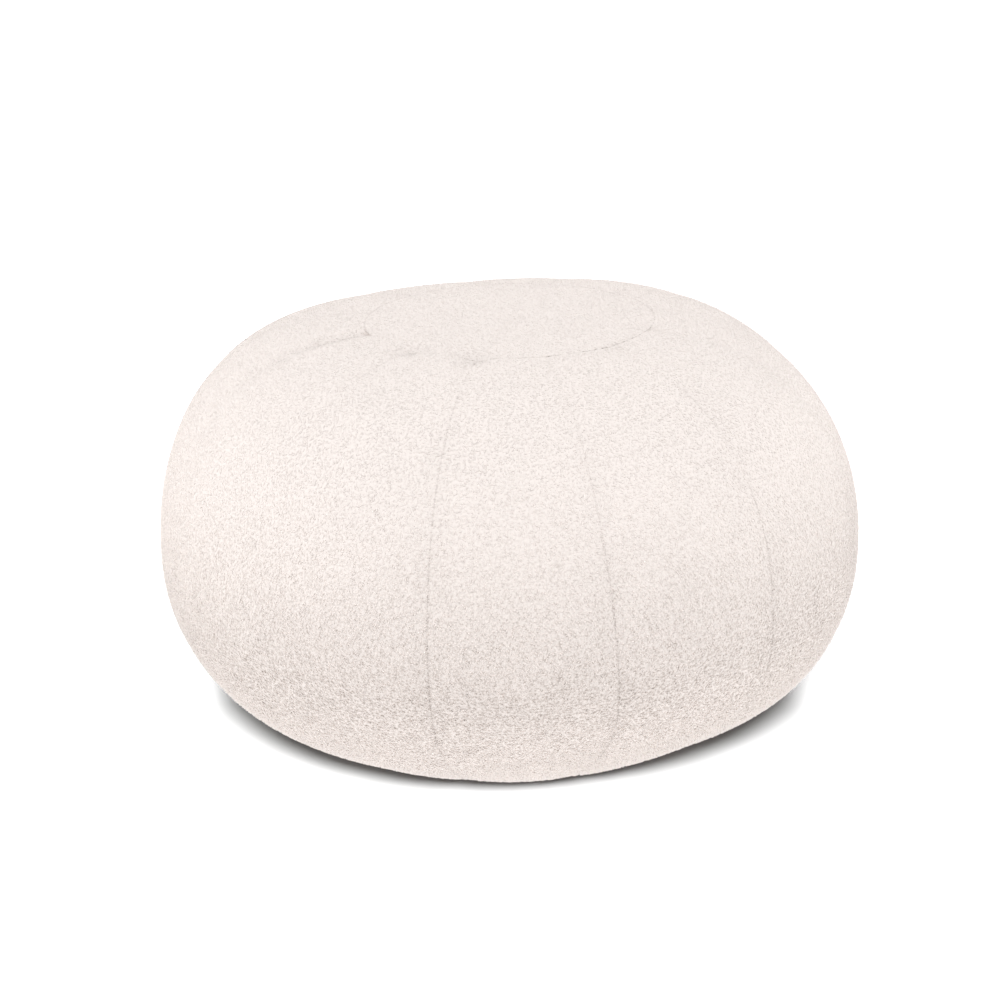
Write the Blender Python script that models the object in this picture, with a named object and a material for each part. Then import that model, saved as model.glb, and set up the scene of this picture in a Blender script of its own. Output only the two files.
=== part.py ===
"""Bean bag footstool: a round filled pouf of cream boucle.

The cover is sewn from a top disc, twelve side gores and a base disc, and the filling shows only as the
shape that it gives them.  Each panel is therefore modelled together with the filling behind it: a gore is
a filled wedge that reaches in to the middle of the footstool, and each disc is a filled cap let into the
wedges.

Metres, +Z up.  The origin is the middle of the flat underside.  Angles around the footstool are counted from
the front (-Y) towards +X.
"""
import math

import bmesh
import bpy

# The filled form
RADIUS = 0.2505                # half the width at the waist
HEIGHT = 0.307                 # floor to crown, at the middle of the top disc
WAIST = 0.155                  # height at which it is widest
FLAT_RADIUS = 0.1125           # the belly leaves the floor here
DISC_RADIUS = 0.1015           # sewn edge of the top disc and of the base disc
SHOULDER_ROUND = 3.9           # superellipse power of the radius above the waist
SHOULDER_RISE = 2.0            # superellipse power of the height above the waist
BELLY_ROUND = 1.1              # the same two powers below the waist
BELLY_RISE = 2.6
CROWN_SLOPE = (0.022, -0.028)  # the filling has settled: the crown rises to +X and falls to the back (+Y)
SLOPE_STARTS = 0.3             # share of the waist's height at which that slope starts

# Sewn seams
GAP = 0.0003                   # between neighbouring pieces
CAP_DEPTH = 0.020              # filled depth of the two discs
CHANNEL_WIDTH = 0.008          # half width of the channel at a gore seam
RIM_DEPTH = 0.0020             # channel around a disc
RIM_WIDTH = 0.006
PILLOW = 0.012                 # fall of a gore from its middle to its seams, over its half width
PUCKER_WIDTH = 0.012           # reach of the dimple where a gore seam is caught into the top disc

# Fineness of the faceted solids
COLUMNS = 8
ROWS = 30
CROWDING = 0.12                # how much closer the rows lie near the discs
DISC_SEGMENTS = 48
OUTLINE_STEPS = 240

# One row for each gore, starting with the one to the right of the front seam: the angle of the seam on its
# left, how far that seam leans round from crown to floor, the depth of its channel at the shoulder and at
# the belly, and the dimple at its upper end.  Angles in degrees, depths in metres.
GORES = (
    # seam     lean   shoulder  belly   pucker
    (-12.4,    0.0,   0.0014,  0.0016,  0.0030),
    (16.4,     6.3,   0.0010,  0.0016,  0.0010),
    (44.8,     7.6,   0.0014,  0.0014,  0.0010),
    (74.0,     5.0,   0.0014,  0.0016,  0.0015),
    (104.0,    2.0,   0.0016,  0.0016,  0.0010),
    (134.0,    0.0,   0.0014,  0.0016,  0.0020),
    (163.5,    0.0,   0.0016,  0.0016,  0.0010),
    (193.0,    0.0,   0.0016,  0.0014,  0.0015),
    (223.0,    0.0,   0.0014,  0.0016,  0.0020),
    (254.5,    2.0,   0.0016,  0.0016,  0.0010),
    (286.0,    5.5,   0.0030,  0.0016,  0.0020),
    (323.6,   11.0,   0.0016,  0.0014,  0.0032),
)
SEAM, LEAN, SHOULDER, BELLY, PUCKER = range(5)

# The bag is not quite round.  One row for each lobe: how many times it swells on the way round, and by how
# much at the shoulder and at the belly, each as the part that peaks at the front and the part that peaks a
# quarter wave on.
LOBES = (
    # waves  top_front  top_next  low_front  low_next
    (1,      0.0000,   -0.0010,   0.0000,   -0.0010),
    (2,      0.0000,    0.0010,  -0.0015,   -0.0015),
    (3,      0.0010,    0.0010,  -0.0030,   -0.0010),
    (4,     -0.0035,   -0.0045,   0.0010,   -0.0005),
)
SHOULDER_FROM = 0.35           # shares of a seam's length, from the floor up, over which the lobes act
BELLY_TO = 0.45

# Distance from the middle, as a share of the disc's radius, of the rings that shape a disc's face
TOP_RINGS = (0.35, 0.62, 0.80, 0.90, 0.96, 1.0)
BASE_RINGS = (0.80, 0.92, 0.97, 1.0)

# The wedges stand off the axis by the spread that opens their side gaps, so the discs are larger by as much
DISC_EDGE = DISC_RADIUS + GAP / 2 / math.tan(math.pi / len(GORES)) - GAP

CREAM_TOP = (0.905, 0.847, 0.799, 1.0)
CREAM_SIDE = (0.888, 0.807, 0.768, 1.0)
CREAM_BASE = (0.840, 0.760, 0.700, 1.0)


def outline():
    """Half section of the filled form: along the floor, up the belly, over the shoulder to the top seam."""
    points = [(DISC_RADIUS, 0.0)]
    for step in range(OUTLINE_STEPS + 1):
        turn = math.pi / 2 * (1 - step / OUTLINE_STEPS)
        out = math.cos(turn) ** (2 / BELLY_ROUND)
        down = math.sin(turn) ** (2 / BELLY_RISE)
        points.append((FLAT_RADIUS + (RADIUS - FLAT_RADIUS) * out, WAIST * (1 - down)))
    last_turn = math.acos((DISC_RADIUS / RADIUS) ** (SHOULDER_ROUND / 2))
    for step in range(1, OUTLINE_STEPS + 1):
        turn = last_turn * step / OUTLINE_STEPS
        out = math.cos(turn) ** (2 / SHOULDER_ROUND)
        rise = math.sin(turn) ** (2 / SHOULDER_RISE)
        points.append((RADIUS * out, WAIST + (HEIGHT - WAIST) * rise))
    return points


def skin_rows():
    """Rows of a gore from base seam to top seam: distance sewn, radius, height and outward direction."""
    points = outline()
    sewn = [0.0]
    for (r0, z0), (r1, z1) in zip(points, points[1:]):
        sewn.append(sewn[-1] + math.hypot(r1 - r0, z1 - z0))
    rows = []
    span = 0
    for row in range(ROWS + 1):
        share = row / ROWS
        share -= CROWDING * math.sin(2 * math.pi * share)
        along = share * sewn[-1]
        while span < len(sewn) - 2 and sewn[span + 1] < along:
            span += 1
        (r0, z0), (r1, z1) = points[span], points[span + 1]
        part = (along - sewn[span]) / (sewn[span + 1] - sewn[span])
        length = math.hypot(r1 - r0, z1 - z0)
        radius = r0 + (r1 - r0) * part
        height = z0 + (z1 - z0) * part
        rows.append((along, radius, height, (z1 - z0) / length, (r0 - r1) / length))
    return rows


def crown(radius):
    """Height of the filled form at a radius, carried on from the shoulder over the top disc."""
    return WAIST + (HEIGHT - WAIST) * (1 - (radius / RADIUS) ** SHOULDER_ROUND) ** (1 / SHOULDER_RISE)


def smooth(share):
    """Ease from 0 to 1."""
    share = min(max(share, 0.0), 1.0)
    return share * share * (3 - 2 * share)


def settled(radius, angle, height):
    """Place a point of the form, with the slope of the crown, which fades out towards the floor."""
    x = radius * math.sin(angle)
    y = -radius * math.cos(angle)
    start = SLOPE_STARTS * WAIST
    fade = smooth((height - start) / (HEIGHT - start))
    return (x, y, height + (CROWN_SLOPE[0] * x + CROWN_SLOPE[1] * y) * fade)


def seam_angle(number, height):
    """Angle of a seam at a height of the form: it leans evenly about its middle."""
    turns, number = divmod(number, len(GORES))
    seam = GORES[number]
    return math.radians(seam[SEAM] + 360 * turns + seam[LEAN] * (0.5 - height / HEIGHT))


def fullness(angle, share):
    """How much fuller (+) or slacker (-) than the round form the bag is, at a share of a seam's length."""
    shoulder = 0.0
    belly = 0.0
    for waves, top_front, top_next, low_front, low_next in LOBES:
        shoulder += top_front * math.cos(waves * angle) + top_next * math.sin(waves * angle)
        belly += low_front * math.cos(waves * angle) + low_next * math.sin(waves * angle)
    shoulder *= math.sin(math.pi * smooth((share - SHOULDER_FROM) / (1 - SHOULDER_FROM)))
    belly *= math.sin(math.pi * smooth(share / BELLY_TO))
    return shoulder + belly


def dip(depth, distance, width):
    """Soft trough: full depth at its line, fading with the distance sewn or laid off from it."""
    return depth * math.exp(-(distance / width) ** 2)


def drawn_in(number, across, angle, radius, half_turn, along, length):
    """How far the skin lies inside the round form, across (-1 to 1) and along one gore."""
    share = along / length
    half_width = radius * half_turn
    troughs = [dip(RIM_DEPTH, along, RIM_WIDTH), dip(RIM_DEPTH, length - along, RIM_WIDTH)]
    for seam_number, share_across in ((number, 1 + across), (number + 1, 1 - across)):
        seam = GORES[seam_number % len(GORES)]
        distance = half_width * share_across
        channel = seam[BELLY] + (seam[SHOULDER] - seam[BELLY]) * smooth(share)
        troughs.append(dip(channel, distance, CHANNEL_WIDTH))
        troughs.append(dip(seam[PUCKER], math.hypot(distance, length - along), PUCKER_WIDTH))
    fall = PILLOW * radius * math.pi / len(GORES) * (across ** 2 - 1 / 3)
    return fall - fullness(angle, share) + math.hypot(*troughs)


def disc_dip(radius, angle, puckered):
    """Depth of the channel around a disc, with the dimples where the gore seams are caught into it."""
    troughs = [dip(RIM_DEPTH, DISC_RADIUS - radius, RIM_WIDTH)]
    for number, gore in enumerate(GORES if puckered else ()):
        turn = angle - seam_angle(number, HEIGHT)
        to_seam = math.hypot(radius * math.sin(turn), radius * math.cos(turn) - DISC_RADIUS)
        troughs.append(dip(gore[PUCKER], to_seam, PUCKER_WIDTH))
    return math.hypot(*troughs)


def closed_mesh(name, vertices, faces, colour):
    """Make an object of the footstool from its vertices and faces, shaded smooth, with its own material."""
    form = bmesh.new()
    placed = [form.verts.new(point) for point in vertices]
    for face in faces:
        form.faces.new([placed[index] for index in face])
    bmesh.ops.recalc_face_normals(form, faces=form.faces)
    mesh = bpy.data.meshes.new(name)
    form.to_mesh(mesh)
    form.free()
    mesh.shade_smooth()
    mesh.set_sharp_from_angle(angle=math.radians(50))
    cloth = bpy.data.materials.new(name + "_boucle")
    cloth.use_nodes = True
    surface = cloth.node_tree.nodes["Principled BSDF"]
    surface.inputs["Base Color"].default_value = colour
    surface.inputs["Roughness"].default_value = 0.95
    surface.inputs["Metallic"].default_value = 0.0
    mesh.materials.append(cloth)
    panel = bpy.data.objects.new(name, mesh)
    footstool.objects.link(panel)
    return panel


def add_gore(number):
    """Loft one filled wedge, row by row up the form and column by column from seam to seam.

    Its skin is drawn in by its own amount everywhere.  Each side, where it meets the next wedge, fans out
    from the middle of the axis and from the two corners at the discs, so that neighbours share one surface
    as it leans.
    """
    rows = skin_rows()
    length = rows[-1][0]

    # Moving the wedge outwards along its middle opens the same gap at both of its sides
    start = seam_angle(number, HEIGHT / 2)
    end = seam_angle(number + 1, HEIGHT / 2)
    spread = GAP / 2 / math.sin((end - start) / 2)
    push = (spread * math.sin((start + end) / 2), -spread * math.cos((start + end) / 2), 0.0)

    low_corner = (0.0, DISC_RADIUS, CAP_DEPTH + GAP, 0.0, 0.0)
    high_corner = (length, DISC_RADIUS, HEIGHT - CAP_DEPTH - GAP, 0.0, 0.0)
    deep = len(rows) + 2
    vertices = []
    for column in range(COLUMNS + 1):
        across = math.sin(math.pi / 2 * (2 * column / COLUMNS - 1))
        for along, radius, height, out, up in [low_corner] + rows + [high_corner]:
            start = seam_angle(number, height)
            half_turn = (seam_angle(number + 1, height) - start) / 2
            angle = start + half_turn * (1 + across)
            inset = drawn_in(number, across, angle, radius, half_turn, along, length)
            radius = max(radius - inset * out, DISC_RADIUS)
            height = max(height - inset * up, 0.0)
            point = settled(radius, angle, height)
            vertices.append(tuple(value + move for value, move in zip(point, push)))
    low_axis = len(vertices)
    middle_axis = low_axis + 1
    high_axis = low_axis + 2
    for height in (CAP_DEPTH + GAP, HEIGHT / 2, HEIGHT - CAP_DEPTH - GAP):
        vertices.append((push[0], push[1], height))

    faces = []
    for column in range(COLUMNS):
        first = column * deep
        for row in range(deep - 1):
            faces.append((first + row, first + deep + row, first + deep + row + 1, first + row + 1))
    faces.append([low_axis] + [column * deep for column in range(COLUMNS + 1)])
    faces.append([high_axis] + [column * deep + deep - 1 for column in range(COLUMNS + 1)])

    # Rows that stand above the lower disc's back and below the upper one's are fanned from the axis
    above = next(row for row in range(1, deep) if rows[row - 1][2] > low_corner[2])
    below = next(row for row in range(deep - 2, 0, -1) if rows[row - 1][2] < high_corner[2])
    for first in (0, COLUMNS * deep):
        low, high = first, first + deep - 1
        for row in range(first + 1, first + above):
            faces.append((low, row, row + 1))
        for row in range(first + above, first + below):
            faces.append((middle_axis, row, row + 1))
        for row in range(first + below, high - 1):
            faces.append((high, row, row + 1))
        faces.append((middle_axis, low_axis, low))
        faces.append((middle_axis, low, first + above))
        faces.append((middle_axis, first + below, high))
        faces.append((middle_axis, high, high_axis))
    return closed_mesh(f"gore_{number + 1:02d}", vertices, faces, CREAM_SIDE)


def add_disc(name, rings, back_height, colour):
    """Make a filled cap: rings of its face, out to the sewn edge, then a flat back at the other height.

    The top disc carries on the crown and is dimpled where the gore seams are caught into it, and its back is
    below its face.  The base disc is flat, and its back is above its face.
    """
    on_top = back_height > WAIST
    vertices = []
    for share in rings + (1.0,):
        back = len(vertices) == len(rings) * DISC_SEGMENTS
        for segment in range(DISC_SEGMENTS):
            angle = 2 * math.pi * segment / DISC_SEGMENTS
            radius = share * DISC_EDGE
            drawn = disc_dip(radius, angle, on_top)
            face_height = crown(radius) - drawn if on_top else drawn
            vertices.append(settled(radius, angle, back_height if back else face_height))
    faces = []
    for ring in range(len(rings)):
        for segment in range(DISC_SEGMENTS):
            here = ring * DISC_SEGMENTS + segment
            beside = ring * DISC_SEGMENTS + (segment + 1) % DISC_SEGMENTS
            faces.append((here, beside, beside + DISC_SEGMENTS, here + DISC_SEGMENTS))
    faces.append(list(range(DISC_SEGMENTS)))
    faces.append(list(range(len(rings) * DISC_SEGMENTS, len(vertices))))
    return closed_mesh(name, vertices, faces, colour)


for old in list(bpy.data.objects):
    bpy.data.objects.remove(old, do_unlink=True)
footstool = bpy.data.collections.new("bean_bag_footstool")
bpy.context.scene.collection.children.link(footstool)

add_disc("top_disc", TOP_RINGS, HEIGHT - CAP_DEPTH, CREAM_TOP)
add_disc("base_disc", BASE_RINGS, CAP_DEPTH, CREAM_BASE)
for gore_number in range(len(GORES)):
    add_gore(gore_number)
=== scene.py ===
"""Bean bag footstool: a round filled pouf sewn from a top disc, twelve side gores and a base disc.

It is all of one cream boucle.  Each panel is a closed, padded form whose skin follows the filled bag, and all
but the base are covered with the standing loops of the yarn.  Metres, +Z up, and the frame's own axes.
Angles around the footstool run from the front (-Y) towards +X.
"""
import math

import bpy
import numpy as np
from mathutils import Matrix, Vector


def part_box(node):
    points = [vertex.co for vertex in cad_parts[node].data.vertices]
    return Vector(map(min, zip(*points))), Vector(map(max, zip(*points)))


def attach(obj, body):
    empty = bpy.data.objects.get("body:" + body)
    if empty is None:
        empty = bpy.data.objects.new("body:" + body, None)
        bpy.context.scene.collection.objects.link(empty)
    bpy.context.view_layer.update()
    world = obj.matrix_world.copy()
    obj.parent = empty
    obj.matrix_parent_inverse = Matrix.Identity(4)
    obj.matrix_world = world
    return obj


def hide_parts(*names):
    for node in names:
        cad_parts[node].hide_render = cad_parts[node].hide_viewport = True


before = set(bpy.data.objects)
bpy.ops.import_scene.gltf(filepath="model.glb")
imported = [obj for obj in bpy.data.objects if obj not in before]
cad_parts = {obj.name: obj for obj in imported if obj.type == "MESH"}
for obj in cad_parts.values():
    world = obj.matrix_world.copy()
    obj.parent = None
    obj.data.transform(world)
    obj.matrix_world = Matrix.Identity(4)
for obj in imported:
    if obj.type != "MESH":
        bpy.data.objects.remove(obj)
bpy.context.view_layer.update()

# ----------------------------------------------------------------------------------------------------------
# Studio.  A white table, a pale room all round and one soft light from above on the left, as for a
# catalogue cut-out.  The camera looks down a little on the front of the footstool.
# ----------------------------------------------------------------------------------------------------------
CAMERA_DISTANCE = 2.5
CAMERA_ELEVATION = math.radians(19.8)
CAMERA_AIM = 0.151             # height of the point that it looks at
CAMERA_LENS = 125.57           # millimetres
CAMERA_SHIFT = (-0.00955, 0.02453)

camera_data = bpy.data.cameras.new("camera")
camera_data.lens = CAMERA_LENS
camera_data.sensor_width = 36.0
camera_data.shift_x, camera_data.shift_y = CAMERA_SHIFT
camera_data.clip_end = 50.0
camera = bpy.data.objects.new("camera", camera_data)
away = Vector((0.0, -math.cos(CAMERA_ELEVATION), math.sin(CAMERA_ELEVATION)))
camera.location = Vector((0.0, 0.0, CAMERA_AIM)) + away * CAMERA_DISTANCE
camera.rotation_euler = (math.pi / 2 - CAMERA_ELEVATION, 0.0, 0.0)
bpy.context.scene.collection.objects.link(camera)
bpy.context.scene.camera = camera
bpy.context.scene.view_settings.view_transform = "Standard"


class Value:
    """A shader value: arithmetic on it adds Math nodes to its tree."""

    def __init__(self, recipe, socket):
        self.recipe, self.socket = recipe, socket

    def _with(self, operation, first, second):
        return self.recipe.node("ShaderNodeMath", {"operation": operation}, {0: first, 1: second})

    def __add__(self, other):
        return self._with("ADD", self, other)

    def __radd__(self, other):
        return self._with("ADD", other, self)

    def __sub__(self, other):
        return self._with("SUBTRACT", self, other)

    def __rsub__(self, other):
        return self._with("SUBTRACT", other, self)

    def __mul__(self, other):
        return self._with("MULTIPLY", self, other)

    def __rmul__(self, other):
        return self._with("MULTIPLY", other, self)

    def __abs__(self):
        return self.recipe.node("ShaderNodeMath", {"operation": "ABSOLUTE"}, {0: self})


class Recipe:
    """The nodes of one material, or of the room."""

    def __init__(self, owner, shader):
        owner.use_nodes = True
        self.owner, self.tree = owner, owner.node_tree
        self.shader = self.tree.nodes[shader]

    def node(self, kind, settings=(), sockets=(), output=0):
        """Add a node: settings first, then each socket's value or link.  Returns one output as a Value."""
        made = self.tree.nodes.new(kind)
        for key, value in dict(settings).items():
            setattr(made, key, value)
        for key, value in dict(sockets).items():
            self.feed(made.inputs[key], value)
        return Value(self, made.outputs[output])

    def feed(self, socket, value):
        """Give a socket a number or colour, or link a Value to it."""
        if isinstance(value, Value):
            self.tree.links.new(value.socket, socket)
        else:
            socket.default_value = value

    def surface(self, **sockets):
        """Set the shader's own sockets, named with _ for a space."""
        for name, value in sockets.items():
            self.feed(self.shader.inputs[name.replace("_", " ")], value)


# White of the room by direction: even, with more from both sides and from below, and a little more low on
# the left and high on the right
ROOM_EVEN, ROOM_SIDES, ROOM_BELOW, ROOM_LOW_LEFT = 0.77, 0.56, 0.47, 0.08

room = Recipe(bpy.data.worlds.new("studio_room"), "Background")
bpy.context.scene.world = room.owner
direction = room.node("ShaderNodeTexCoord", output="Generated")
sideways = room.node("ShaderNodeSeparateXYZ", {}, {"Vector": direction}, "X")
upward = room.node("ShaderNodeSeparateXYZ", {}, {"Vector": direction}, "Z")
white = ROOM_EVEN + sideways * sideways * ROOM_SIDES - upward * ROOM_BELOW
room.surface(Color=white + sideways * upward * ROOM_LOW_LEFT, Strength=1.0)


def soft_sun(name, turn, rise, spread, strength):
    """Distant soft light: degrees round from the camera, up from the floor, and across its own spread."""
    data = bpy.data.lights.new(name, "SUN")
    data.energy = strength
    data.angle = math.radians(spread)
    light = bpy.data.objects.new(name, data)
    light.rotation_euler = (math.radians(90.0 - rise), 0.0, math.radians(turn))
    bpy.context.scene.collection.objects.link(light)
    return light


soft_sun("key", turn=-30.0, rise=75.0, spread=24.0, strength=1.42)

# The table is a grey that its own lights burn out to white, up to a short soft shadow
TABLE_SIZE = 30.0
TABLE_GREY = 0.11

bpy.ops.mesh.primitive_plane_add(size=TABLE_SIZE)
table = bpy.context.object
table.name = "white_table"
table.visible_diffuse = table.visible_shadow = False
paint = Recipe(bpy.data.materials.new("table_paint"), "Principled BSDF")
paint.surface(Base_Color=(TABLE_GREY, TABLE_GREY, TABLE_GREY, 1.0), Roughness=1.0, Specular_IOR_Level=0.0)
table.data.materials.append(paint.owner)

# Two lights reach the table alone: one over the camera, and a weaker one from behind that lifts its shadow
table_only = bpy.data.collections.new("lit_by_table_lights")
table_only.objects.link(table)
table_light = soft_sun("table_light", turn=-0.5, rise=33.2, spread=13.7, strength=71.0)
table_light.light_linking.receiver_collection = table_only
back_light = soft_sun("table_back_light", turn=180.0, rise=58.0, spread=20.0, strength=16.0)
back_light.light_linking.receiver_collection = table_only

# ----------------------------------------------------------------------------------------------------------
# Side gores.  Twelve leaf-shaped panels of cream boucle, cut to run from the top disc down the side and
# under the belly.  They are sewn edge to edge, so each bulges between its seams and is drawn in along them.
# ----------------------------------------------------------------------------------------------------------
base_low, base_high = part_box("base_disc")

RADIUS = 0.2505                # half the width at the waist
HEIGHT = 0.307                 # floor to crown
WAIST = 0.155                  # height at which it is widest
FLAT_RADIUS = 0.1125           # the belly leaves the floor here
DISC_RADIUS = (base_high.x - base_low.x) / 2
SHOULDER_ROUND, SHOULDER_RISE = 3.9, 2.0    # exponents of its section, outwards and upwards
BELLY_ROUND, BELLY_RISE = 1.1, 2.6
CROWN_SLOPE = (0.022, -0.028)  # the filling has settled: the crown rises to +X and falls to the back (+Y)
SLOPE_STARTS = 0.3             # share of the waist's height above which that slope fades in
SHOULDER_FROM, BELLY_TO = 0.35, 0.45    # shares of a gore's length where its lobes begin and end

PILE = 0.0016                  # the ground cloth lies this far under the tips of the loops
FLATTENED = 0.74               # share of the pile's height that is gone at the crown
PILLOW = 0.012                 # fall of a gore from its middle to its seams, over its half width
CHANNEL_WIDTH = 0.008          # distance at which a trough has 1/e of its depth, as for the widths below
CHANNEL_FROM = 0.74            # share of the way up from which a channel turns to its depth at the shoulder
BASE_RIM_DEPTH, RIM_WIDTH = 0.0014, 0.005
PUCKER_WIDTH = 0.011
FLOOR_GAP = 0.0002             # least height of a gore's skin

GORE_ROWS, GORE_COLUMNS = 128, 32       # cells of a gore's front
EDGE_ROW, EDGE_COLUMN = 0.0015, 0.006   # its outermost cells, as shares of half its length and width
BACK_STRIDE = 8                # cells of the front for each one of the back, a divisor of all their counts
PAD_DEPTH = 0.014

# One row for each gore: the angle of the seam on its left, how far that seam leans round from crown to
# floor, the depth of its channel at the shoulder and at the belly, and the dimple at its upper end.  Then
# how dark the painted shade of its crease is at the shoulder and at the belly, the share of the way up
# where the one passes into the other, and how dark the painted shade of the top disc's seam is there.
# Degrees and metres.
GORES = np.array([
    # seam     lean   shoulder  belly   pucker   dark_top dark_low change  rim
    (-12.4,    0.0,   0.0002,  0.0006,  0.0026,  0.15,    0.42,    0.64,   0.15),
    (16.4,     6.3,   0.0000,  0.0006,  0.0004,  0.00,    0.44,    0.62,   0.60),
    (44.8,     7.6,   0.0002,  0.0005,  0.0004,  0.05,    0.44,    0.66,   1.40),
    (74.0,     5.0,   0.0003,  0.0004,  0.0006,  0.00,    0.20,    0.75,   0.30),
    (104.0,    2.0,   0.0003,  0.0004,  0.0006,  0.10,    0.40,    0.75,   0.30),
    (134.0,    0.0,   0.0003,  0.0004,  0.0010,  0.10,    0.40,    0.75,   0.40),
    (163.5,    0.0,   0.0003,  0.0004,  0.0006,  0.10,    0.40,    0.75,   0.40),
    (193.0,    0.0,   0.0003,  0.0004,  0.0006,  0.10,    0.40,    0.75,   0.40),
    (223.0,    0.0,   0.0003,  0.0004,  0.0008,  0.10,    0.40,    0.75,   0.40),
    (254.5,    2.0,   0.0002,  0.0004,  0.0006,  0.05,    0.25,    0.75,   0.35),
    (286.0,    5.5,   0.0030,  0.0001,  0.0010,  0.55,    0.00,    0.88,   0.15),
    (323.6,   11.0,   0.0002,  0.0000,  0.0026,  0.32,    0.00,    0.92,   0.00),
])
SEAM, LEAN, SHOULDER, BELLY, PUCKER, DARK_TOP, DARK_LOW, CHANGE, RIM = range(9)
CHANGE_OVER = 0.4              # share of the way up over which the crease's painted shade turns from dark_low to dark_top
TOP_RIM_DEPTH = 0.0006         # depth of the channel around the top disc where the painted shade of its seam is 1 dark
PUCKER_DARK = 0.6              # how dark the painted shade of the folds is in a dimple of depth PUCKER_FULL
PUCKER_FULL, PUCKER_LENGTH = 0.0026, 0.012

# One row for each lobe of the settled bag: how many times it swells on the way round, and by how much at the
# shoulder and at the belly, each as the part that peaks in front and the part that peaks a quarter wave on.
LOBES = np.array([
    # waves  top_front  top_next  low_front  low_next
    (1,      0.0000,   -0.0010,   0.0000,   -0.0010),
    (2,      0.0000,    0.0010,  -0.0015,   -0.0015),
    (3,      0.0010,    0.0010,  -0.0030,   -0.0010),
    (4,     -0.0035,   -0.0045,   0.0010,   -0.0005),
])


def smooth(share):
    """Ease from 0 to 1: 3 s^2 - 2 s^3."""
    share = np.clip(share, 0.0, 1.0)
    return share * share * (3 - 2 * share)


def form_outline(steps=400):
    """Half section of the filled form, from the base seam over the waist to the top seam.

    A superellipse quarter below the waist, out from the flat, and another above it: radius is a power of the
    cosine and height a power of the sine of a turning angle.  Returns distance sewn, radius and height.
    """
    turn = np.linspace(math.pi / 2, 0.0, steps)
    belly_radius = FLAT_RADIUS + (RADIUS - FLAT_RADIUS) * np.cos(turn) ** (2 / BELLY_ROUND)
    belly_height = WAIST * (1 - np.sin(turn) ** (2 / BELLY_RISE))
    turn = np.linspace(0.0, math.acos((DISC_RADIUS / RADIUS) ** (SHOULDER_ROUND / 2)), steps)[1:]
    shoulder_radius = RADIUS * np.cos(turn) ** (2 / SHOULDER_ROUND)
    shoulder_height = WAIST + (HEIGHT - WAIST) * np.sin(turn) ** (2 / SHOULDER_RISE)
    radius = np.concatenate([[DISC_RADIUS], belly_radius, shoulder_radius])
    height = np.concatenate([[0.0], belly_height, shoulder_height])
    sewn = np.concatenate([[0.0], np.cumsum(np.hypot(np.diff(radius), np.diff(height)))])
    return sewn, radius, height


SEWN, OUTLINE_RADIUS, OUTLINE_HEIGHT = form_outline()
GORE_LENGTH = SEWN[-1]
OUT = np.gradient(OUTLINE_HEIGHT, SEWN)
UP = -np.gradient(OUTLINE_RADIUS, SEWN)


def settled(radius, angle, height):
    """Place a point of the form, raised by the crown's slope times x and y, which fades out downwards."""
    x, y = radius * np.sin(angle), -radius * np.cos(angle)
    start = SLOPE_STARTS * WAIST
    fade = smooth((height - start) / (HEIGHT - start))
    return np.stack([x, y, height + (CROWN_SLOPE[0] * x + CROWN_SLOPE[1] * y) * fade], axis=-1)


def seam_angle(number, height):
    """Angle of a seam at a height of the form: it leans evenly about its middle."""
    turns, number = divmod(number, len(GORES))
    return np.radians(GORES[number, SEAM] + 360.0 * turns + GORES[number, LEAN] * (0.5 - height / HEIGHT))


def fullness(angle, share):
    """How much fuller than the round form the bag is: the sum of the lobes at the shoulder and the belly.

    A lobe is a cosine and a sine of its waves times the angle, and swells and fades as half a sine upwards.
    """
    shoulder = np.sin(math.pi * smooth((share - SHOULDER_FROM) / (1 - SHOULDER_FROM)))
    belly = np.sin(math.pi * smooth(share / BELLY_TO))
    fuller = 0.0
    for waves, top_front, top_next, low_front, low_next in LOBES:
        fuller = fuller + np.cos(waves * angle) * (top_front * shoulder + low_front * belly)
        fuller = fuller + np.sin(waves * angle) * (top_next * shoulder + low_next * belly)
    return fuller


def dip(depth, distance, width):
    """Soft trough: depth times e to the minus of (distance over width) squared."""
    return depth * np.exp(-(distance / width) ** 2)


def combined(troughs):
    """Several troughs that run into each other: the root of the sum of their squares."""
    return np.sqrt(sum(trough ** 2 for trough in troughs))


def pile_depth(height):
    """Depth of the ground cloth under the tips of the loops: the pile is rubbed flatter towards the crown."""
    return PILE * (1 - FLATTENED * smooth(height / HEIGHT))


def half_width(number, along):
    """Half the width of a gore at a distance sewn from the base seam."""
    height = np.interp(along, SEWN, OUTLINE_HEIGHT)
    turn = seam_angle(number + 1, height) - seam_angle(number, height)
    return np.interp(along, SEWN, OUTLINE_RADIUS) * turn / 2


def rim_dark(angle):
    """How dark the painted shade of the top disc's seam is at an angle, from one gore seam to the next in a
    straight line.
    """
    at_seams = [seam_angle(number, HEIGHT) for number in range(len(GORES))]
    return np.interp(angle, at_seams, GORES[:, RIM], period=2 * math.pi)


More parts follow.
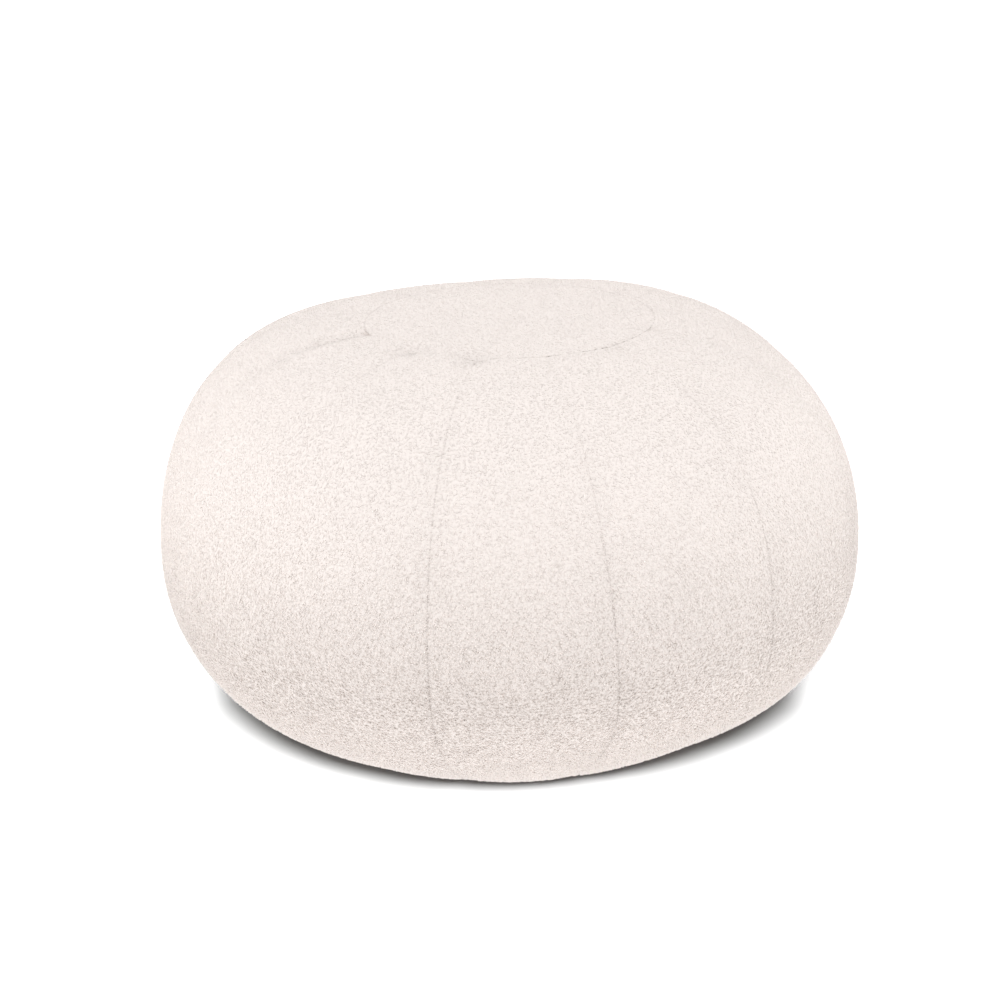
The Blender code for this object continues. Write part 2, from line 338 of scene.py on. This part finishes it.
def lay_gore(number):
    """One gore as functions of flat cloth, x across from its middle and y along from the base seam.

    The first gives the places of its skin: the form's section at y, turned to the angle, less the pile, the
    fall towards the seams and the hollows, and with the lobes.  The second gives four values for its nearest
    seam: the distance to it and along it, how dark its crease's painted shade is, and the depth of the
    hollows there.
    """
    gore, next_gore = GORES[number], GORES[(number + 1) % len(GORES)]

    def angle_at(x, y):
        height = np.interp(y, SEWN, OUTLINE_HEIGHT)
        middle = (seam_angle(number, height) + seam_angle(number + 1, height)) / 2
        return middle + x / np.interp(y, SEWN, OUTLINE_RADIUS)

    def seams(x, y):
        half = half_width(number, y)
        share = y / GORE_LENGTH
        for seam, distance in ((gore, half + x), (next_gore, half - x)):
            upper = smooth((share - CHANNEL_FROM) / (1 - CHANNEL_FROM))
            depth = seam[BELLY] + (seam[SHOULDER] - seam[BELLY]) * upper
            upper = smooth((share - seam[CHANGE]) / CHANGE_OVER + 0.5)
            dark = seam[DARK_LOW] + (seam[DARK_TOP] - seam[DARK_LOW]) * upper
            # painted shade of the folds in the dimple at the upper end
            dark = dark + dip(PUCKER_DARK * seam[PUCKER] / PUCKER_FULL, GORE_LENGTH - y, PUCKER_LENGTH)
            yield seam, distance, depth, dark

    def hollow(x, y):
        rim = TOP_RIM_DEPTH * rim_dark(angle_at(x, y))
        troughs = [dip(BASE_RIM_DEPTH, y, RIM_WIDTH), dip(rim, GORE_LENGTH - y, RIM_WIDTH)]
        for seam, distance, depth, _ in seams(x, y):
            troughs.append(dip(depth, distance, CHANNEL_WIDTH))
            troughs.append(dip(seam[PUCKER], np.hypot(distance, GORE_LENGTH - y), PUCKER_WIDTH))
        return combined(troughs)

    def nearest_seam(x, y):
        angle = angle_at(x, y)
        (_, left, _, left_dark), (_, right, _, right_dark) = seams(x, y)
        distance, along = np.minimum(left, right), y + 0 * x
        dark = np.where(left < right, left_dark, right_dark)
        at_rim = GORE_LENGTH - y < distance
        distance = np.where(at_rim, GORE_LENGTH - y, distance)
        along = np.where(at_rim, angle * DISC_RADIUS, along)
        dark = np.where(at_rim, rim_dark(angle), dark)
        return np.stack([distance, along, dark, hollow(x, y)], axis=-1)

    def lay(x, y):
        y = np.clip(y, 0.0, GORE_LENGTH)
        angle = angle_at(x, y)
        radius = np.interp(y, SEWN, OUTLINE_RADIUS)
        height = np.interp(y, SEWN, OUTLINE_HEIGHT)
        # less a third, the mean of that square, so that the pillow leaves the form its size
        fall = PILLOW * radius * math.pi / len(GORES) * ((x / half_width(number, y)) ** 2 - 1 / 3)
        inset = pile_depth(height) + fall - fullness(angle, y / GORE_LENGTH) + hollow(x, y)
        out = np.interp(y, SEWN, OUT)
        up = np.interp(y, SEWN, UP)
        return settled(radius - inset * out, angle, np.maximum(height - inset * up, FLOOR_GAP))

    return lay, nearest_seam


def skin_at(lay, x, y, step=0.0004):
    """Points of the skin and its outward unit normals: the cross of its changes over a step in x and in y."""
    across = lay(x + step, y) - lay(x - step, y)
    along = lay(x, y + step) - lay(x, y - step)
    normal = np.cross(across, along)
    return lay(x, y), normal / np.linalg.norm(normal, axis=-1, keepdims=True)


def grid_shares(cells, edge):
    """Even shares from -1 to 1, but with a cell at each end that is only as wide as the edge.

    The shading turns over the sewn edge within that cell.
    """
    return np.concatenate([[-1.0], np.linspace(edge - 1.0, 1.0 - edge, cells - 1), [1.0]])


GROUND_PILE = 0.25             # pile height of the ground cloth, from 0 to 1, which sets its painted shade between the loops


def padded_form(lay, nearest_seam, x, y):
    """Close a grid of skin into a pad: its front, a coarser back laid inside it, and a rim of faces between.

    Rows run along the cloth and columns across it.  The back lies PAD_DEPTH in, along the normals.  Each rim
    face joins one edge of the back to the BACK_STRIDE edges of the front beside it.  Returns the vertices,
    each one's pile height from 0 to 1 and four seam values, and a list of face arrays.
    """
    front, normal = skin_at(lay, x, y)
    rows, columns = x.shape
    back = (front - normal * PAD_DEPTH)[::BACK_STRIDE, ::BACK_STRIDE]
    index = np.arange(rows * columns).reshape(rows, columns)
    inner = index.size + np.arange(back.shape[0] * back.shape[1]).reshape(back.shape[:2])

    def quads(grid):
        return np.stack([grid[:-1, :-1], grid[:-1, 1:], grid[1:, 1:], grid[1:, :-1]], axis=-1).reshape(-1, 4)

    def around(grid):
        return np.concatenate([grid[0, :-1], grid[:-1, -1], grid[-1, :0:-1], grid[:0:-1, 0], grid[0, :1]])

    outer_edge, inner_edge = around(index), around(inner)
    starts = np.arange(len(inner_edge) - 1) * BACK_STRIDE
    chain = outer_edge[starts[:, None] + np.arange(BACK_STRIDE, -1, -1)]
    rim = np.concatenate([chain, inner_edge[:-1, None], inner_edge[1:, None]], axis=1)
    vertices = np.concatenate([front.reshape(-1, 3), back.reshape(-1, 3)])
    seam = nearest_seam(x, y)
    seam = np.concatenate([seam.reshape(-1, 4), seam[::BACK_STRIDE, ::BACK_STRIDE].reshape(-1, 4)])
    return vertices, np.full(len(vertices), GROUND_PILE), seam, [quads(index), quads(inner)[:, ::-1], rim]


LOOP_SPACING, ROW_SPACING = 0.00245, 0.866    # the second as a share of the first
LOOP_JITTER = 0.3              # share of a spacing
OVERHANG = 0.0008              # loops stand a little past the sewn edges, so that they close over the seams
LOOP_SPAN = (0.0028, 0.0044)   # from where the yarn leaves the ground cloth to where it returns
LOOP_BEND = 0.0006
LOOP_HEIGHT = (0.0001, 0.0008)
LOOP_SINKS = 0.6               # share of the yarn's radius by which the ends lie in the ground cloth
YARN_RADIUS = (0.00070, 0.00100)
YARN_SIDES = 3
LOOP_TONE = (0.80, 1.0)        # pile height that a loop shows at its middle
LOOP_END_PILE = 0.3            # and what is left of it at its ends, so painted shade darkens them where the yarn goes into the cloth
FLOOR_CLEARANCE = 0.0024       # no loops stand where the cloth is pressed on the floor


def loop_places(rng, half_across, length):
    """Jittered triangular lattice over a panel: rows of points a loop apart, to just past its long edges."""
    widest = half_across(np.linspace(0.0, length, 200)).max() + OVERHANG
    rows = np.arange(0.0, length, LOOP_SPACING * ROW_SPACING)
    x, y = np.meshgrid(np.arange(-widest, widest, LOOP_SPACING), rows)
    x[1::2] += LOOP_SPACING / 2
    x = (x + rng.uniform(-LOOP_JITTER, LOOP_JITTER, x.shape) * LOOP_SPACING).ravel()
    y = (y + rng.uniform(-LOOP_JITTER, LOOP_JITTER, y.shape) * LOOP_SPACING).ravel()
    inside = (np.abs(x) < half_across(y) + OVERHANG) & (y > 0.0) & (y < length)
    return x[inside], y[inside]


def yarn_loops(rng, lay, nearest_seam, x, y):
    """Standing loops of yarn: each is a short bent spindle from the ground cloth over an arch and back.

    Along a loop u runs from -1 to 1.  Seen flat, it goes forward by u times half the span and sideways by the
    bend times 1 - u^2, and it rises by the height times 1 - u^2.  It has a ring of vertices in the middle, at
    u = 0, and ends in a point, at u = -1 and 1.  Every vertex is laid on the skin, so loops dip into the
    channels, and they lie flatter towards the crown, where people sit.
    """
    place, normal = skin_at(lay, x, y)
    keep = place[:, 2] > FLOOR_CLEARANCE
    place, normal = place[keep], normal[keep]
    x, y = x[keep, None, None], y[keep, None, None]
    count = len(place)
    heading = rng.uniform(0.0, 2 * math.pi, (count, 1, 1))
    span = rng.uniform(*LOOP_SPAN, (count, 1, 1))
    bend = rng.uniform(-LOOP_BEND, LOOP_BEND, (count, 1, 1))
    height = rng.uniform(*LOOP_HEIGHT, (count, 1, 1))
    yarn = rng.uniform(*YARN_RADIUS, (count, 1, 1))
    tone = rng.uniform(*LOOP_TONE, (count, 1))

    def ring(u, sides, thickness):
        """One ring's vertices, as distances forward, sideways and up: a circle of the yarn by thickness."""
        turn = 2 * math.pi * np.arange(sides)[None, None, :] / sides
        arch = 1 - u * u
        forward = np.broadcast_to(span * u / 2, (count, 1, sides))
        sideways = bend * arch + yarn * thickness * np.sin(turn)
        up = height * arch - LOOP_SINKS * yarn * (1 - arch) + yarn * thickness * np.cos(turn)
        return np.concatenate([forward, sideways, up], axis=1)

    rings = [ring(-1.0, 1, 0.0), ring(0.0, YARN_SIDES, 1.0), ring(1.0, 1, 0.0)]
    forward, sideways, up = np.moveaxis(np.concatenate(rings, axis=2), 1, 0)
    x, y, heading = x[:, 0], y[:, 0], heading[:, 0]
    flat_x = x + forward * np.cos(heading) - sideways * np.sin(heading)
    flat_y = y + forward * np.sin(heading) + sideways * np.cos(heading)
    standing = 1 - FLATTENED * smooth(place[:, 2:3] / HEIGHT)
    vertices = lay(flat_x, flat_y) + normal[:, None, :] * (up * standing)[..., None]
    # pile for the painted shade: each loop's random tone, lower at its ends
    pile = np.concatenate([[LOOP_END_PILE], np.ones(YARN_SIDES), [LOOP_END_PILE]]) * tone

    first, last = np.zeros(YARN_SIDES, int), np.full(YARN_SIDES, YARN_SIDES + 1)
    side = 1 + np.arange(YARN_SIDES)
    beside = np.roll(side, -1)
    start = (np.arange(count) * (YARN_SIDES + 2))[:, None, None]
    faces = [(start + np.stack(corners, axis=-1)).reshape(-1, 3)
             for corners in ((first, beside, side), (last, side, beside))]
    return vertices.reshape(-1, 3), pile.ravel(), nearest_seam(flat_x, flat_y).reshape(-1, 4), faces


def boucle_mesh(name, parts):
    """Join parts, each its vertices, pile, seam values and faces, into one mesh with these as attributes.

    All of it is shaded smooth except the rims of the pads: only their faces have BACK_STRIDE corners or more.
    """
    vertices = np.concatenate([part[0] for part in parts])
    pile = np.concatenate([part[1] for part in parts])
    seam = np.concatenate([part[2] for part in parts])
    starts = np.cumsum([0] + [len(part[0]) for part in parts])
    faces = [face + start for part, start in zip(parts, starts) for face in part[3]]
    corners = np.concatenate([face.ravel() for face in faces])
    sizes = np.concatenate([np.full(len(face), face.shape[1]) for face in faces])
    mesh = bpy.data.meshes.new(name)
    mesh.vertices.add(len(vertices))
    mesh.vertices.foreach_set("co", vertices.ravel())
    mesh.loops.add(len(corners))
    mesh.loops.foreach_set("vertex_index", corners.astype(np.int32))
    mesh.polygons.add(len(sizes))
    mesh.polygons.foreach_set("loop_start", (np.cumsum(sizes) - sizes).astype(np.int32))
    mesh.polygons.foreach_set("loop_total", sizes.astype(np.int32))
    mesh.update(calc_edges=True)
    mesh.validate()
    mesh.polygons.foreach_set("use_smooth", sizes < BACK_STRIDE)
    mesh.attributes.new("pile", "FLOAT", "POINT").data.foreach_set("value", pile)
    mesh.attributes.new("seam", "FLOAT_VECTOR", "POINT").data.foreach_set("vector", seam[:, :3].ravel())
    mesh.attributes.new("hollow", "FLOAT", "POINT").data.foreach_set("value", seam[:, 3].copy())
    return mesh


CURL_SCALE, PATCH_SCALE, UNEVEN_SCALE = 600.0, 22.0, 170.0    # of the noises, per metre
CURL_BUMP = 0.0007
PILE_SHADES, CURL_SHADES = 0.6, 3.0    # how much the depths in the pile and in a curl count towards the painted shade
SHADES_FROM = 0.11                     # what they must come to before it begins
PATCHINESS = 0.05
WEAR_AND_SHADE_FROM, WEAR_AND_SHADE_TO = 0.08, 0.30        # heights over which the bump is rubbed down and the painted shade weakens
WEAR_AND_SHADE_LEFT = 0.28                   # what is left there of the bump and of the painted shade
CREASE_WIDTH = 0.0011                  # the stitching pinches the cloth into a crease, painted as shade this far to each side
CREASE_WANDERS = 0.0016
CREASE_GAP, CREASE_WHOLE = 0.38, 0.65  # values of the uneven noise where it is hidden and where it is whole
STITCH = 0.0052                        # length of a stitch
STITCH_SHOWS = 0.3                     # share by which the crease's painted shade darkens and pales along each
# colour of the painted shade in a crease
CREASE_SHADE = (0.20, 0.15, 0.12, 1.0)
NOISE_MEAN = 0.5
COLOUR_A, COLOUR_B, MIXED = 6, 7, 2    # sockets of a Mix node set to colours
HOLLOW_DARKENS = 30.0                  # share of the light that is lost for each metre of a hollow's depth


def boucle(name, shade_colour, tip):
    """Cream boucle: pale where the loops stand up, with painted shade that makes it darker and warmer down
    between them, and a fine curl.

    The painted shade is the depth in the pile plus that in a noise of curls, and is weaker high up; more
    painted shade darkens the hollows.  A crease follows each seam as painted shade: it fades out to each
    side, wanders and breaks off with a noise, and is as dark as the dark value of that seam there.
    """
    cloth = Recipe(bpy.data.materials.new(name), "Principled BSDF")
    place = cloth.node("ShaderNodeTexCoord", output="Object")
    height = cloth.node("ShaderNodeSeparateXYZ", {}, {"Vector": place}, "Z")
    # high up the bump is rubbed down, and the painted shade weakens where light from above falls square
    wear_and_shade_contrast = cloth.node("ShaderNodeMapRange", {"interpolation_type": "SMOOTHSTEP"},
                       {"Value": height, "From Min": WEAR_AND_SHADE_FROM, "From Max": WEAR_AND_SHADE_TO,
                        "To Min": 1.0, "To Max": WEAR_AND_SHADE_LEFT})
    pile = cloth.node("ShaderNodeAttribute", {"attribute_name": "pile"}, output="Fac")
    curl = cloth.node("ShaderNodeTexNoise", {},
                      {"Vector": place, "Scale": CURL_SCALE, "Detail": 1.2}, "Fac")
    # painted shade by depth: low pile and the dips of the curl noise come out darker
    down = (1.0 - pile) * PILE_SHADES + (NOISE_MEAN - curl) * CURL_SHADES - SHADES_FROM
    shade = cloth.node("ShaderNodeMapRange", {"interpolation_type": "SMOOTHSTEP"},
                       {"Value": down * wear_and_shade_contrast, "From Min": 0.0, "From Max": 1.0})
    colour = cloth.node("ShaderNodeMix", {"data_type": "RGBA"},
                        {"Factor": shade, COLOUR_A: tip, COLOUR_B: shade_colour}, MIXED)

    patch = cloth.node("ShaderNodeTexNoise", {},
                       {"Vector": place, "Scale": PATCH_SCALE, "Detail": 3.0}, "Fac")
    hollow = cloth.node("ShaderNodeAttribute", {"attribute_name": "hollow"}, output="Fac")
    # random patches of tone, and painted shade in the channels and dimples
    light = 1.0 + (patch - NOISE_MEAN) * PATCHINESS - hollow * HOLLOW_DARKENS
    toned = cloth.node("ShaderNodeVectorMath", {"operation": "SCALE"}, {0: colour, "Scale": light})

    # painted shade in the crease along each seam, darker and lighter along its stitches
    seam = cloth.node("ShaderNodeAttribute", {"attribute_name": "seam"}, output="Vector")
    distance = cloth.node("ShaderNodeSeparateXYZ", {}, {"Vector": seam}, "X")
    along = cloth.node("ShaderNodeSeparateXYZ", {}, {"Vector": seam}, "Y")
    dark = cloth.node("ShaderNodeSeparateXYZ", {}, {"Vector": seam}, "Z")
    uneven = cloth.node("ShaderNodeTexNoise", {},
                        {"Vector": place, "Scale": UNEVEN_SCALE, "Detail": 1.0}, "Fac")
    aside = abs(distance + (uneven - NOISE_MEAN) * CREASE_WANDERS)
    pinched = cloth.node("ShaderNodeMapRange", {"interpolation_type": "SMOOTHSTEP"},
                         {"Value": aside, "From Min": CREASE_WIDTH, "From Max": 0.0})
    drawn = cloth.node("ShaderNodeMapRange", {},
                       {"Value": uneven, "From Min": CREASE_GAP, "From Max": CREASE_WHOLE})
    stitched = cloth.node("ShaderNodeMath", {"operation": "COSINE"}, {0: along * (2 * math.pi / STITCH)})
    crease = pinched * drawn * dark * ((1.0 - STITCH_SHOWS) + STITCH_SHOWS * stitched)
    creased = cloth.node("ShaderNodeMix", {"data_type": "RGBA"},
                         {"Factor": crease, COLOUR_A: toned, COLOUR_B: CREASE_SHADE}, MIXED)

    bump = cloth.node("ShaderNodeBump", {},
                      {"Strength": 0.8, "Distance": CURL_BUMP, "Height": curl * wear_and_shade_contrast}, "Normal")
    cloth.surface(Base_Color=creased, Roughness=0.95, Specular_IOR_Level=0.15, Sheen_Weight=0.2,
                  Sheen_Roughness=0.5, Sheen_Tint=(1.0, 0.97, 0.95, 1.0), Normal=bump)
    return cloth.owner


def dress(name, node, cloth, parts):
    """Make the panel's object and let it stand for its CAD node."""
    panel = bpy.data.objects.new(name, boucle_mesh(name, parts))
    panel.data.materials.append(cloth)
    bpy.context.scene.collection.objects.link(panel)
    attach(panel, "root")
    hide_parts(node)


# colour of the painted shade down between the loops, and the tips' own colour
BOUCLE_SHADED = (0.68, 0.61, 0.565, 1.0)
BOUCLE_TIP = (0.945, 0.872, 0.833, 1.0)
FIRST_GORE_SEED = 100
side_boucle = boucle("boucle_side", BOUCLE_SHADED, BOUCLE_TIP)
for number in range(len(GORES)):
    rng = np.random.default_rng(FIRST_GORE_SEED + number)
    lay, nearest_seam = lay_gore(number)
    y = (1.0 + grid_shares(GORE_ROWS, EDGE_ROW)[:, None]) / 2 * GORE_LENGTH
    x = grid_shares(GORE_COLUMNS, EDGE_COLUMN)[None, :] * half_width(number, y)
    y = np.broadcast_to(y, x.shape)
    places = loop_places(rng, lambda along: half_width(number, along), GORE_LENGTH)
    dress(f"gore_panel_{number + 1:02d}", f"gore_{number + 1:02d}", side_boucle,
          [padded_form(lay, nearest_seam, x, y), yarn_loops(rng, lay, nearest_seam, *places)])

# ----------------------------------------------------------------------------------------------------------
# Top disc.  A round panel of the same boucle, sewn into the upper ends of the gores.  It lies almost flat
# on the filling, dips to its seam, and has a small dimple where each gore seam is caught into it.
# ----------------------------------------------------------------------------------------------------------
DISC_CELLS = 64
EDGE_CELL = 0.004              # the outermost cells, as a share of the radius
DISC_SEED = 50


def top_hollow(x, y):
    """Depth of the channel around the top disc and of its dimples: one trough by the distance to each."""
    radius = np.hypot(x, y)
    angle = np.arctan2(x, -y)
    troughs = [dip(TOP_RIM_DEPTH * rim_dark(angle), DISC_RADIUS - radius, RIM_WIDTH)]
    for number, gore in enumerate(GORES):
        turn = angle - seam_angle(number, HEIGHT)
        to_seam = np.hypot(radius * np.sin(turn), radius * np.cos(turn) - DISC_RADIUS)
        troughs.append(dip(gore[PUCKER], to_seam, PUCKER_WIDTH))
    return combined(troughs)


def top_seam(x, y):
    """Its seam: the distance in from it and along it, how dark its painted crease shade is, and the depth of
    the hollows.
    """
    angle = np.arctan2(x, -y)
    distance = DISC_RADIUS - np.hypot(x, y)
    return np.stack([distance, angle * DISC_RADIUS, rim_dark(angle), top_hollow(x, y)], axis=-1)


def lay_top(x, y):
    """The skin of the top disc as a function of flat cloth, x and y from its middle.

    It carries on the superellipse of the shoulder: height above the waist is a power of 1 less a power of the
    radius, less the pile and the hollows.
    """
    radius = np.hypot(x, y)
    angle = np.arctan2(x, -y)
    crown = WAIST + (HEIGHT - WAIST) * (1 - (radius / RADIUS) ** SHOULDER_ROUND) ** (1 / SHOULDER_RISE)
    return settled(radius, angle, crown - pile_depth(HEIGHT) - top_hollow(x, y))


def disc_grid(cells):
    """A square grid pressed into a circle: x sqrt(1 - y^2 / 2) and y sqrt(1 - x^2 / 2)."""
    x, y = np.meshgrid(grid_shares(cells, EDGE_CELL), grid_shares(cells, EDGE_CELL))
    return x * np.sqrt(1 - y * y / 2) * DISC_RADIUS, y * np.sqrt(1 - x * x / 2) * DISC_RADIUS


def chord(along):
    """Half the width of a disc at a distance along its diameter, by Pythagoras."""
    return np.sqrt(np.maximum(DISC_RADIUS ** 2 - (along - DISC_RADIUS) ** 2, 0.0))


top_boucle = boucle("boucle_top", BOUCLE_SHADED, BOUCLE_TIP)
rng = np.random.default_rng(DISC_SEED)
x, y = loop_places(rng, chord, 2 * DISC_RADIUS)
dress("top_panel", "top_disc", top_boucle,
      [padded_form(lay_top, top_seam, *disc_grid(DISC_CELLS)),
       yarn_loops(rng, lay_top, top_seam, x, y - DISC_RADIUS)])

# ----------------------------------------------------------------------------------------------------------
# Base disc.  The same round panel on the underside, sewn into the lower ends of the gores.  The weight of
# the filling presses it flat on the floor, so its loops are crushed and none stands up.
# ----------------------------------------------------------------------------------------------------------
BASE_CELLS = 48
CRUSHED = 0.0002               # what is left of its pile
BASE_DARK = 0.5                # how dark its seam's painted crease shade is
BASE_TIP = (0.86, 0.80, 0.755, 1.0)


def lay_base(x, y):
    """The skin of the base disc, flat on the floor and drawn up at its seam by a soft trough.

    Seen from above, x runs the other way, so that the skin faces down.
    """
    radius = np.hypot(x, y)
    height = CRUSHED + dip(BASE_RIM_DEPTH, DISC_RADIUS - radius, RIM_WIDTH)
    return settled(radius, np.arctan2(-x, -y), height)


def base_seam(x, y):
    """Its seam: the distance in from it and along it, an even painted crease shade, and no hollows."""
    distance = DISC_RADIUS - np.hypot(x, y)
    return np.stack([distance, np.arctan2(-x, -y) * DISC_RADIUS, 0 * x + BASE_DARK, 0 * x], axis=-1)


base_boucle = boucle("boucle_base", BOUCLE_SHADED, BASE_TIP)
dress("base_panel", "base_disc", base_boucle,
      [padded_form(lay_base, base_seam, *disc_grid(BASE_CELLS))])
